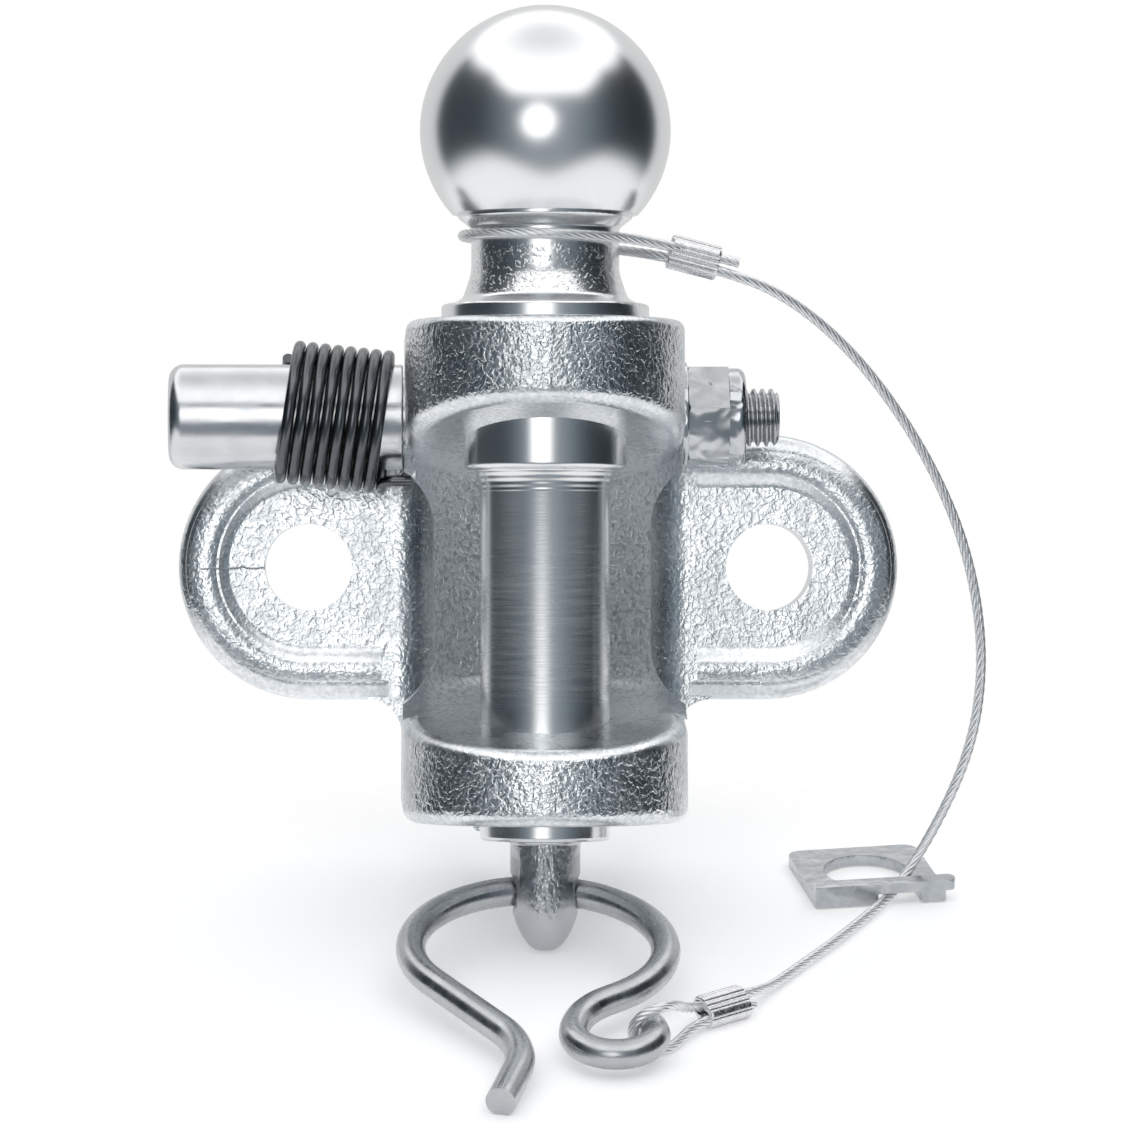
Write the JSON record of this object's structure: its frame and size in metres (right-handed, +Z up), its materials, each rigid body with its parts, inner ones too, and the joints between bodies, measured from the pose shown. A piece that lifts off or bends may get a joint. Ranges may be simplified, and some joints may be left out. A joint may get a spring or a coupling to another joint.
{
  "type": "ball and pin coupling",
  "caption": "Cast two-jaw towing coupling with a ball-headed drop pin, a sprung cross spindle that locks the pin, and a wire clip on a rope lanyard.",
  "frame": {"origin": "midway between the fixing holes, on the flat mounting face of the lugs", "axes": "+Y out of the mounting face towards the vehicle's bracket, +Z up along the ball pin, +X towards the lock nut, right-handed"},
  "size_m": [0.1666, 0.129, 0.214],
  "materials": {
    "zinc_casting": "bright zinc over a rough cast skin",
    "pin_steel": "turned and polished",
    "spindle_steel": "bright zinc, satin",
    "spring_steel": "dark oiled wire",
    "zinc_hardware": "bright zinc plate",
    "nylon": "plain nylon",
    "rope_steel": "stranded galvanised wire",
    "ferrule_aluminium": "pressed and fluted",
    "clip_steel": "bright plated wire",
    "plate_steel": "bright zinc sheet"
  },
  "bodies": {
    "housing": {"housing": "zinc_casting"},
    "spindle": {"lock_spindle": "spindle_steel", "torsion_spring": "spring_steel", "spindle_washer": "zinc_hardware", "lock_nut": "zinc_hardware", "nut_insert": "nylon"},
    "ball_pin": {"ball_pin": "pin_steel", "neck_loop": "rope_steel", "neck_ferrule": "ferrule_aluminium", "lanyard_cable": "rope_steel", "anchor_plate": "plate_steel"},
    "clip": {"retaining_clip": "clip_steel", "clip_loop": "rope_steel", "clip_ferrule": "ferrule_aluminium"}
  },
  "joints": [
    {"name": "lock_spindle_turn", "type": "hinge", "parent": "housing", "child": "spindle", "pos_m": [0, -0.0275, 0.0303], "axis": [-1, 0, 0], "range_deg": [0, 90], "deforming": ["torsion_spring"]},
    {"name": "ball_pin_lift", "type": "slide", "parent": "housing", "child": "ball_pin", "axis": [0, 0, 1], "range_m": [0, 0.0075], "stiffness_N_per_m": 10965, "springref_m": -0.00382},
    {"name": "clip_swing", "type": "hinge", "parent": "ball_pin", "child": "clip", "pos_m": [0, -0.049, -0.065], "axis": [1, 0, 0], "range_deg": [-24, 66], "deforming": ["lanyard_cable"]}
  ],
  "couplings": [
    {"joint": "lock_spindle_turn", "follows": "ball_pin_lift", "rad_per_m": 209.43}
  ]
}
